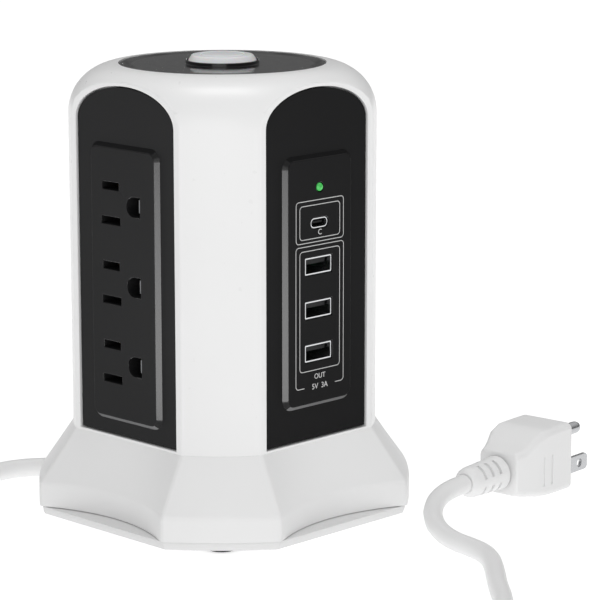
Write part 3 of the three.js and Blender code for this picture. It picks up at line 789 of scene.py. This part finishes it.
def polish_slopes(obj, half, bottom, top):
    """Gives the plateau's slopes the polished material, a painted highlight below and painted shade above."""
    for material in (slope_abs, painted_highlight_slope_abs, painted_shade_slope_abs):  # these become slots 1, 2 and 3
        obj.data.materials.append(material)
    for face in obj.data.polygons:
        p = face.center / MM
        inside = abs(along_flat(p)) < half + 0.1 and bottom - 0.1 < p.z < top + 0.1
        if inside and PANEL_FACE < flat_distance(p) < PLATEAU_FACE - 0.02 and slope_between(face.normal, p):
            upwards = face.normal.z
            # Lower slopes get the painted highlight, upper slopes the painted shade.
            face.material_index = 2 if upwards < -SLOPE_TILT else 3 if upwards > SLOPE_TILT else 1


for side, angle in SOCKET_SIDES.items():
    twin = copy_to_side(panel, f"ac_panel_{side}_face", angle)
    done(twin, panel_abs, "tower", "dark_panel", f"ac_panel_{side}")
    polish_slopes(twin, *SOCKET_PLATEAU)
    glinting.objects.link(twin)
delete(panel)

# %% The earth contacts
# Behind the mouth of each earth hole stands one leaf of the contact that grips the pin: a pale gleam.
LOWEST_OUTLET, OUTLET_STEP, LEAF_HALF = OUTLET_HEIGHTS[-1], 29.35, 2.4
leaves = block("earth_leaves", (EARTH_X + 0.5, -48.1, LOWEST_OUTLET - LEAF_HALF),
               (EARTH_X + 3.2, -47.6, LOWEST_OUTLET + LEAF_HALF))
bevel(leaves, lambda p, d: abs(d.z) > 0.9 and p.y < -48, 0.3, segments=3)
pick_all(leaves)
for _ in OUTLET_HEIGHTS[1:]:
    bpy.ops.mesh.duplicate_move(TRANSFORM_OT_translate={"value": (0, 0, OUTLET_STEP * MM)})
close_edit()
for side, angle in SOCKET_SIDES.items():
    twin = copy_to_side(leaves, f"earth_contacts_{side}", angle)
    done(twin, leaf_nickel, "tower", "contact_brass", smooth=30)
delete(leaves)

# %% [markdown]
# ## Charging panel
#
# The charging panel has the same blank with a slightly smaller plateau. Three USB-A openings, one USB-C
# opening and the window of the indicator are cut through it, each a little wider than the part that shows
# in it.

# %% The charging panel and its openings
USB_A_HEIGHTS, USB_A_X = (99.2, 83.1, 67.1), -0.4
USB_C_HEIGHT, LED_HEIGHT = 114.7, 127.7
CHARGING_SIDE, CHARGING_PLATEAU = -45, (17.7, 47, 139.8)


def rounded_block(name, x, z, width, height, radius, y_from, y_to):
    obj = block(name, (x - width / 2, y_from, z - height / 2), (x + width / 2, y_to, z + height / 2))
    bevel(obj, lambda p, d: abs(d.y) > 0.9, radius, segments=5)
    return obj


charging_panel = panel_blank("charging_panel_face", *CHARGING_PLATEAU)
for x in (-17, 17):
    for z in (57, 131):
        combine(charging_panel, rod("post", 2.4, 30, 45.4, 24, (x, 0, z), TOWARDS_FRONT), "UNION")
openings = [(USB_A_X, z, 14.2, 6.8, 0.6) for z in USB_A_HEIGHTS] + [(0, USB_C_HEIGHT, 9.2, 4.2, 1.95)]
for opening in openings:
    combine(charging_panel, rounded_block("opening", *opening, CUT_FROM, CUT_TO))
combine(charging_panel, rod("led_hole", 1.9, 43, 52, 32, (0, 0, LED_HEIGHT), TOWARDS_FRONT))
bevel(charging_panel, lambda p, d: abs(p.y + PLATEAU_FACE) < 0.01 and abs(p.x) < 8 and 62 < p.z < 131, 0.2,
      segments=2)
turned_to(charging_panel, CHARGING_SIDE)
done(charging_panel, painted_shade_charging_abs, "tower", "dark_panel", "usb_panel")
polish_slopes(charging_panel, *CHARGING_PLATEAU)
glinting.objects.link(charging_panel)

# %% [markdown]
# ## Inside the USB openings
#
# A USB-A socket is a drawn steel shell round a black plastic tongue with four contacts, and behind the
# tongue a black block closes the shell. The shells and tongues of the CAD model have the right shape and
# get their materials; the block and the contacts are added.

# %% Insulator blocks and contacts
for i, z in enumerate(USB_A_HEIGHTS, 1):
    insulator = rounded_block(f"usb_a_insulator_{i}", USB_A_X, z, 12.66, 5.26, 0.3, -45.5, -40)
    pick(insulator, "FACE", lambda p, n: n.y < -0.9)
    bpy.ops.mesh.inset(thickness=0.4 * MM, depth=-0.3 * MM)
    close_edit()
    combine(insulator, block("tongue_slot", (USB_A_X - 5.65, -46, z + 0.25), (USB_A_X + 5.65, -39, z + 2.25)))
    turned_to(insulator, CHARGING_SIDE)
    done(insulator, inner_nylon, "tower", "inner_plastic")
    contacts = block(f"usb_a_contacts_{i}", (USB_A_X - 4.1, -47.2, z + 0.2), (USB_A_X - 2.9, -45.6, z + 0.29))
    bevel(contacts, lambda p, d: p.y < -47 and abs(d.z) < 0.1 and p.z < z + 0.25, 0.03, segments=1)
    pick_all(contacts)
    for _ in range(3):
        bpy.ops.mesh.duplicate_move(TRANSFORM_OT_translate={"value": (2.33 * MM, 0, 0)})
    close_edit()
    turned_to(contacts, CHARGING_SIDE)
    done(contacts, stamped_brass, "tower", "contact_brass", smooth=0)
    print("contacts of socket", i, "at", z, "mm")

# %% [markdown]
# ## Printed lines
#
# A double line frames the USB-C opening and another frames the three USB-A openings. They are pad-printed,
# so they stand up by the thickness of the ink only. Each is an outline turned into a curve, which a round
# bevel makes a thin thread that is half sunk in the panel. The short labels are plain ratings, made as text
# and then as meshes.

# %% Frames and ratings
LINE_HALF = 0.2
INK_HEIGHT = 0.03


def frame_points(x0, z0, x1, z1, radius, y):
    corners = ((x1 - radius, z0 + radius, -90), (x1 - radius, z1 - radius, 0), (x0 + radius, z1 - radius, 90),
               (x0 + radius, z0 + radius, 180))
    return [(cx + radius * math.cos(a), y, cz + radius * math.sin(a))
            for cx, cz, start in corners for a in angles_between(start, start + 90, 4)]


def printed_line(name, points, closed):
    obj = outline(name, points, closed=closed)
    activate(obj)
    bpy.ops.object.convert(target="CURVE")
    obj.data.bevel_depth = LINE_HALF * MM
    obj.data.bevel_resolution = 1
    obj.data.use_fill_caps = True
    bpy.ops.object.convert(target="MESH")
    return obj


def printed_text(name, words, size, place):
    bpy.ops.object.select_all(action="DESELECT")
    bpy.ops.object.text_add(location=Vector(place) * MM, rotation=(math.pi / 2, 0, 0))
    label = bpy.context.object
    label.data.body = words
    label.data.size = size * MM
    label.data.align_x = label.data.align_y = "CENTER"
    label.data.extrude = INK_HEIGHT * MM
    bpy.ops.object.convert(target="MESH")
    label = bpy.context.object
    label.name = label.data.name = name
    apply_place(label)
    return label


LINE_Y = -PLATEAU_FACE + 0.12
prints = [printed_line("line", frame_points(x0, z0, x1, z1, 1.3, LINE_Y), True)
          for x0, z0, x1, z1 in ((-12.2, 108.0, 12.2, 123.2), (-10.3, 109.3, 10.3, 121.5),
                                 (-10.3, 60.7, 10.3, 105.0))]
around = frame_points(-12.3, 54.6, 12.3, 106.7, 1.3, LINE_Y)
open_line = [(8, LINE_Y, 54.6)] + around + [(-8, LINE_Y, 54.6)]
prints.append(printed_line("open_line", open_line, False))
for words, size, z in (("C", 2.9, 111.3), ("OUT", 2.7, 58.2), ("5V  3A", 2.9, 54.5)):
    prints.append(printed_text("rating", words, size, (0, -PLATEAU_FACE - INK_HEIGHT, z)))
join(*prints)
printed = bpy.context.object
printed.name = printed.data.name = "charging_panel_print"
turned_to(printed, CHARGING_SIDE)
done(printed, ink, "tower", "dark_panel", smooth=0)

# %% [markdown]
# ## Top disc and button
#
# The polished black disc closes the top, with a groove inside its low rim that catches the light. The button
# stands in a low collar in its middle: a milky cap with a chamfered edge, a fine ring groove and a slightly
# crowned face. Both are turned from a profile, which is also how their moulds are made.

# %% The disc and the button
BUTTON_RADIUS = 12.6
disc_profile = [(13.1, 165.9), (38.1, 165.9), (38.1, 167.7), (37.95, 168.1), (37.7, 168.4), (37.3, 168.5),
                (36.9, 168.5), (36.6, 168.35), (35.3, 167.1), (35, 167), (34.7, 167.1), (33.6, 168.1),
                (33.3, 168.2), (13.8, 168.2), (13.65, 168.3), (13.6, 169.3), (13.5, 169.45), (13.35, 169.5),
                (13.2, 169.5), (13.1, 169.4)]
disc = turn("top_disc_polished", disc_profile, steps=160)
done(disc, disc_gloss, "tower", "dark_disc", "top_disc", smooth=24)
glinting.objects.link(disc)
button_profile = [(0, 163.2), (14.2, 163.2), (14.2, 165.2), (BUTTON_RADIUS, 165.2), (BUTTON_RADIUS, 169.3),
                  (12.5, 169.6), (11.5, 171.1), (11.2, 171.35), (10.8, 171.45), (8.6, 171.6), (8.35, 171.5),
                  (8.15, 171.2), (7.9, 171.2), (7.7, 171.5), (7.45, 171.62), (4.6, 171.76), (0, 171.8)]
button = turn("power_button_cap", button_profile, steps=96)
done(button, button_milk, "button", "button", "power_button", smooth=24)

# %% [markdown]
# ## Foot
#
# The foot spreads from the tower's octagon to four bowed lobes that keep it from tipping over, with a
# hollow between each two. It is drawn as two outlines with the same count of corners, the lobed one low
# down and the tower's own above it, and bridged. The low band is extruded down from the lobed outline, and
# its edges are rounded before the skin gets its thickness.

# %% The two outlines of the skirt
LOBE_REACH, LOBE_HALF, LOBE_BOW, HOLLOW_DEPTH = 68.4, 21.4, 1.5, 8.5
BAND_BOTTOM, BAND_TOP, SKIRT_TOP = 5.1, 14, 33.38
LOBE_STEPS, HOLLOW_STEPS = 12, 20


def quarter_turned(points):
    """Four copies of a run of corners about the axis, as one closed outline."""
    ring = []
    for c, s in ((1, 0), (0, 1), (-1, 0), (0, -1)):
        ring += [(x * c - y * s, x * s + y * c, z) for x, y, z in points]
    return ring


def lobed_outline(reach, half, bow, hollow, z, hollow_steps=HOLLOW_STEPS):
    points = []
    for i in range(LOBE_STEPS):
        s = -1 + 2 * i / LOBE_STEPS
        points.append((reach + bow * (1 - s * s), half * s, z))
    for i in range(hollow_steps):
        s = i / hollow_steps
        dip = hollow * 4 * s * (1 - s) * DIAGONAL
        points.append((reach + (half - reach) * s - dip, half + (reach - half) * s - dip, z))
    return quarter_turned(points)


def tower_outline(radius, flat, z):
    half = math.pi / 4 - math.acos(flat / radius)
    x, y = radius * math.cos(half), radius * math.sin(half)
    points = [(radius * math.cos(a), radius * math.sin(a), z)
              for a in (half * (-1 + 2 * i / LOBE_STEPS) for i in range(LOBE_STEPS))]
    points += [(x + (y - x) * i / HOLLOW_STEPS, y + (x - y) * i / HOLLOW_STEPS, z)
               for i in range(HOLLOW_STEPS)]
    return quarter_turned(points)


skirt = outline("foot_skirt", lobed_outline(LOBE_REACH, LOBE_HALF, LOBE_BOW, HOLLOW_DEPTH, BAND_TOP))
upper = outline("upper", tower_outline(BODY_RADIUS, FLAT_REACH, SKIRT_TOP))
join(skirt, upper)
pick_all(skirt)
bpy.ops.mesh.bridge_edge_loops()
close_edit()
pick(skirt, "EDGE", lambda p, d: abs(p.z - BAND_TOP) < 0.01)
extrude((0, 0, BAND_BOTTOM - BAND_TOP))
close_edit()
clean(skirt)
print("skirt", len(skirt.data.polygons), "faces")

# %% Its rounded edges, its wall and the cord's hole
half_column = math.pi / 4 - math.acos(FLAT_REACH / BODY_RADIUS)
near, aside = BODY_RADIUS * math.cos(half_column), BODY_RADIUS * math.sin(half_column)


def eight_corners(far, aside):
    """The corners at either end of the four lobes or columns, seen from above."""
    return [Vector(p[:2]) for p in quarter_turned([(far, aside, 0), (aside, far, 0)])]


lobe_corners = eight_corners(LOBE_REACH, LOBE_HALF)
crease_middles = [(a + b) / 2 for a, b in zip(lobe_corners, eight_corners(near, aside))]


def on_skirt_edge(p, d):
    if abs(p.z - BAND_TOP) < 0.01:
        return True
    if abs(d.z) < 0.3:
        return False
    places = lobe_corners if p.z < BAND_TOP else crease_middles
    return min((Vector((p.x, p.y)) - c).length for c in places) < 0.3


bevel(skirt, on_skirt_edge, 1.1, segments=4)
clean(skirt)
activate(skirt)
wall = skirt.modifiers.new("wall", "SOLIDIFY")
wall.thickness = 2.3 * MM
wall.offset = -1
wall.use_even_offset = True
bpy.ops.object.modifier_apply(modifier="wall")
combine(skirt, rod("cord_hole", 4.35, 60, 80, 40, (0, 0, EXIT_HEIGHT), ALONG_Y))
done(skirt, foot_abs, "tower", "white_foot", "base_skirt", smooth=30)
white_pieces.objects.link(skirt)

# %% [markdown]
# ## Base plate and rubber feet
#
# The plate closes the foot from below and shows as a thin grey edge under the band. Its outline is the
# lobed one with straight sides, with a chamfer on the lower edge, recesses for the rubber feet and holes
# for the screws.

# %% The base plate
PLATE_BOTTOM, PLATE_TOP, SCREW_CIRCLE = 1.5, 4.8, 46.5
FEET = {"front": (0, -59), "right": (59, 0), "rear": (0, 59), "left": (-59, 0)}
plate_outline = lobed_outline(LOBE_REACH - 1.2, LOBE_HALF - 0.7, LOBE_BOW, 0, PLATE_BOTTOM, 1)
plate = slab("base_plate_edge", plate_outline, (0, 0, PLATE_TOP - PLATE_BOTTOM))
bevel(plate, lambda p, d: abs(p.z - PLATE_BOTTOM) < 0.01, 1.5, segments=2)
bevel(plate, lambda p, d: abs(p.z - PLATE_TOP) < 0.01, 0.3, segments=2)


for x, y in FEET.values():
    combine(plate, rod("recess", 6.4, 0, 2.9, 36, (x, y, 0)))
for angle in FLAT_ANGLES:
    x, y = SCREW_CIRCLE * math.cos(math.radians(angle)), SCREW_CIRCLE * math.sin(math.radians(angle))
    for radius, depth in ((3.4, 3.1), (1.7, 6)):
        combine(plate, rod("screw_hole", radius, 0, depth, 36, (x, y, 0)))
done(plate, plate_abs, "tower", "grey_plate", "base_plate", smooth=30)
white_pieces.objects.link(plate)

# %% The rubber feet
foot_profile = [(0, 0.02), (1.6, 0.3), (3.6, 0.3), (4.2, 0), (5.2, 0), (5.8, 0.25), (6.1, 0.9), (6.1, 2.6),
                (0, 2.6)]
first_foot = turn("rubber_foot", foot_profile, steps=48)
for side, (x, y) in FEET.items():
    pad = copy_of(first_foot, f"rubber_pad_{side}", (x, y, 0))
    done(pad, foot_rubber, "tower", "foot_rubber", f"rubber_foot_{side}", smooth=30)
delete(first_foot)

# %% [markdown]
# ## The cord's gland and tie
#
# Where the cord leaves the foot it runs through a soft PVC gland. Its flange sits against the lobe, and its
# taper has grooves all round so that it bends in a curve and keeps the cord from kinking. The coil is held
# by a strap.

# %% Gland and strap
gland_profile = [(0, 62), (4.05, 62), (4.05, 70.3), (6.1, 70.4), (6.3, 70.6), (6.3, 73.2), (6.1, 73.4),
                 (5.7, 74.4)]
for i in range(5):
    y = 77 + 5 * i
    r = 5.6 - 1.2 * (y - 75) / 28
    gland_profile += [(r, y), (r - 0.9, y + 0.4), (r - 1.0, y + 1.4), (r - 0.15, y + 1.8)]
gland_profile += [(4.45, 102.4), (4.1, 103), (0, 103)]
gland = turn("cord_gland_grooved", gland_profile, 48, (0, 0, EXIT_HEIGHT), ALONG_Y)
done(gland, cord_pvc, "tower", "cord_jacket", "cord_gland", smooth=30)
TIE_PLACE = (COIL_RADIUS, COIL_Y, COIL_HEIGHT)
tie = turn("cord_tie_strap", [(10.2, -4), (10.8, -4), (10.8, 4), (10.2, 4)], 64, TIE_PLACE, ALONG_Y)
tail = outline("tail", [(10.8, 0, -3.8), (11.2, 0, -3.8), (11.2, 0, 3.8), (10.8, 0, 3.8)])
pick_all(tail)
bpy.ops.mesh.edge_face_add()
bpy.ops.mesh.spin(steps=16, angle=1.7, center=(0, 0, 0), axis=(0, 0, 1))
close_edit()
clean(tail)
put(tail, TIE_PLACE, (ALONG_Y, 0, 0))
join(tie, tail)
done(tie, tie_weave, "tower", "tie", "cord_tie", smooth=30)

# %% [markdown]
# ## The plug
#
# A grounded plug is one block of PVC moulded over the contacts. From the face it runs straight, narrows on
# both sides to a neck, and ends in a round strain relief with rows of slots. It is a box whose rear face is
# extruded again and again and resized each time, with finger steps cut into its side, and its long edges
# rounded last. The plug is drawn with its face at the origin and its blades along +Y, and each piece is
# then laid on its side beside the tower, with the earth pin uppermost.

# %% Where the plug lies
PLUG_LENGTH = 54.3  # from the end of the cord to the face
PLUG_HEADING = math.radians(40)


def lay_down(obj):
    """Rolls a piece of the plug on its side, turns it to its heading and moves it to where the cord ends."""
    along = Vector((math.sin(PLUG_HEADING), math.cos(PLUG_HEADING), 0))
    put(obj, Vector((*PLUG_END, PLUG_AXIS)) + PLUG_LENGTH * along, (0, math.pi / 2, -PLUG_HEADING))


print("heading", round(math.degrees(PLUG_HEADING)), "degrees from +Y")

# %% The plug's body
# Each ring: its distance behind the face, its left and right edges, and half its thickness.
PLUG_RINGS = ((-14, -14.9, 11.2, 12), (-17, -14.8, 11, 12), (-22, -13.2, 10.4, 11.6),
              (-25.5, -10.6, 9.8, 10.6), (-28, -9, 9.6, 10), (-32.3, -8, 8.4, 8.8))
body = block("plug_body_moulded", (-15, -8, -12), (11.4, 0, 12))
left, right, half, y = -15, 11.4, 12, -8
for new_y, new_left, new_right, new_half in PLUG_RINGS:
    pick(body, "FACE", lambda p, n: n.y < -0.7 and abs(p.y - y) < 0.01)
    extrude((((new_left + new_right) - (left + right)) / 2, new_y - y, 0))
    middle = Vector(((new_left + new_right) / 2, new_y, 0)) * MM
    bpy.ops.transform.resize(value=((new_right - new_left) / (right - left), 1, new_half / half),
                             center_override=middle)
    close_edit()
    left, right, half, y = new_left, new_right, new_half, new_y
bevel(body, lambda p, d: abs(d.y) > 0.6, 2.6, segments=5)
bevel(body, lambda p, d: abs(p.y) < 0.01, 1.1, segments=4)
bevel(body, lambda p, d: abs(p.y + 32.3) < 0.01, 0.9, segments=3)
clean(body)
print("plug body", len(body.data.polygons), "faces")

# %% Its finger steps
for i in range(3):
    step_y = -13 - 5.2 * i
    for side in (-1, 1):
        combine(body, block("groove", (-5, step_y - 1.3, side * 11.6), (6.6, step_y, side * 13.6)))
lay_down(body)
done(body, plug_pvc, "tower", "plug_moulding", "plug_body", smooth=30)

# %% The strain relief
relief_profile = [(0, -54), (4.1, -54), (4.9, -53.5), (5.6, -52.2), (5.9, -50.5), (6.5, -36), (6.6, -33.8),
                  (0, -33.8)]
relief = turn("plug_strain_relief_slotted", relief_profile, 56, tilt=ALONG_Y)
for row in range(3):
    for quarter in range(4):
        slot_block = block("relief_slot", (-3.1, -48.8 + 4.6 * row, 4.6), (3.1, -47.3 + 4.6 * row, 8))
        put(slot_block, rotation=(0, math.radians(45 + 90 * quarter), 0))
        combine(relief, slot_block)
lay_down(relief)
done(relief, cord_pvc, "tower", "cord_jacket", "plug_strain_relief", smooth=30)

# %% [markdown]
# ## Blades and earth pin
#
# The two blades are stamped from sheet, with a round locking hole near the tip and corners cut back, and
# the earth pin is a longer round rod with a domed tip that meets its contact first. The second blade is a
# copy of the first.

# %% Blades and pin
BLADE_THICKNESS = 1.5
blade_outline = [(1.2, 0.3), (7.6, 0.3), (7.6, 16.4), (7.2, 17.3), (6.4, 17.9), (2.4, 17.9), (1.6, 17.3),
                 (1.2, 16.4)]
BLADE_UNDERSIDE = SLOT_SPACING - BLADE_THICKNESS / 2
blade = slab("plug_blade_live_stamped", [(x, y, BLADE_UNDERSIDE) for x, y in blade_outline],
             (0, 0, BLADE_THICKNESS))
combine(blade, rod("hole", 1.6, 4, 9, 32, (4.4, 12.4, 0)))
bevel(blade, lambda p, d: abs(abs(p.z - SLOT_SPACING) - BLADE_THICKNESS / 2) < 0.01, 0.18, segments=2)
other_blade = copy_of(blade, "plug_blade_neutral_stamped", (0, 0, -2 * SLOT_SPACING))
pin_profile = [(0, 0.3), (2.38, 0.3), (2.38, 18.4), (2.28, 19.4), (1.95, 20.3), (1.35, 21), (0.7, 21.3),
               (0, 21.4)]
pin = turn("plug_earth_pin_turned", pin_profile, 40, (-7.5, 0, 0), ALONG_Y)
for obj, node in ((blade, "plug_blade_live"), (other_blade, "plug_blade_neutral"), (pin, "plug_earth_pin")):
    lay_down(obj)
    done(obj, plug_nickel, "tower", "plug_metal", node, smooth=30)

# %% The cord gets its material and body, and the CAD nodes it stands for are hidden
cord.data.materials.clear()
cord.data.materials.append(cord_pvc)
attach(cord, "tower")
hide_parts("cord_lead", "cord_coil", "cord_run")

# %% [markdown]
# ## Return spring
#
# Under the button sits a compression spring, cold-wound from zinc-plated wire, with its first and last
# turns closed so that it stands flat. It is a curve with a round section, made a mesh.

# %% The spring
WIRE, SPRING_RADIUS = 0.9, 5.2
SPRING_LOW, SPRING_HIGH = 152.45, 162.75
TURN_HEIGHTS = (0, 1, 2.85, 4.7, 6.55, 8.4, 9.4)  # middle of the wire after each turn
SPRING_STEPS = 144


def spring_point(share):
    """A point of the wire's middle, at a share of the turns from 0 to 1. The end turns rise less."""
    turn_count = share * (len(TURN_HEIGHTS) - 1)
    whole = min(int(turn_count), len(TURN_HEIGHTS) - 2)
    low, high = TURN_HEIGHTS[whole:whole + 2]
    height = SPRING_LOW + WIRE / 2 + low + (high - low) * (turn_count - whole)
    angle = turn_count * 2 * math.pi
    return (SPRING_RADIUS * math.cos(angle), SPRING_RADIUS * math.sin(angle), height)


bpy.ops.curve.primitive_nurbs_path_add()
spring = bpy.context.object
spring.name = "button_spring_wound"
spring.data.splines.clear()
wire_line = spring.data.splines.new("POLY")
wire_line.points.add(SPRING_STEPS)
for i, point in enumerate(wire_line.points):
    point.co = (*(c * MM for c in spring_point(i / SPRING_STEPS)), 1)
spring.data.bevel_depth = WIRE / 2 * MM
spring.data.bevel_resolution = 3
spring.data.use_fill_caps = True
bpy.ops.object.convert(target="MESH")
clean(spring)
done(spring, zinc_plate, "tower", "screw_steel", "button_spring", smooth=40)
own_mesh(spring)

# %% [markdown]
# ## Pieces of the CAD model that stay
#
# The contact strips, carriers, boards, switch, USB shells, tongues, lens and screws have their final shape
# in the CAD model. They only need their real materials, so that what shows of them through the openings
# reads as brass, steel or nylon.

# %% Materials for the CAD nodes that stay
KEPT = {
    stamped_brass: ("live_strip", "neutral_strip", "earth_strip"),
    inner_nylon: ("ac_carrier", "usb_a_tongue", "usb_c_tongue", "switch_housing"),
    light_nylon: ("switch_bridge", "switch_plunger"),
    drawn_steel: ("usb_a_shell", "usb_c_shell"),
    board_laminate: ("charger_board", "surge_board"),
    varistor_epoxy: ("varistor",),
    zinc_plate: ("base_screw",),
    lens_green: ("led_lens",),
}
for material, starts in KEPT.items():
    for name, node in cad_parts.items():
        if name.startswith(starts):
            node.data.materials.clear()
            node.data.materials.append(material)
print("materials on kept nodes", len(KEPT))
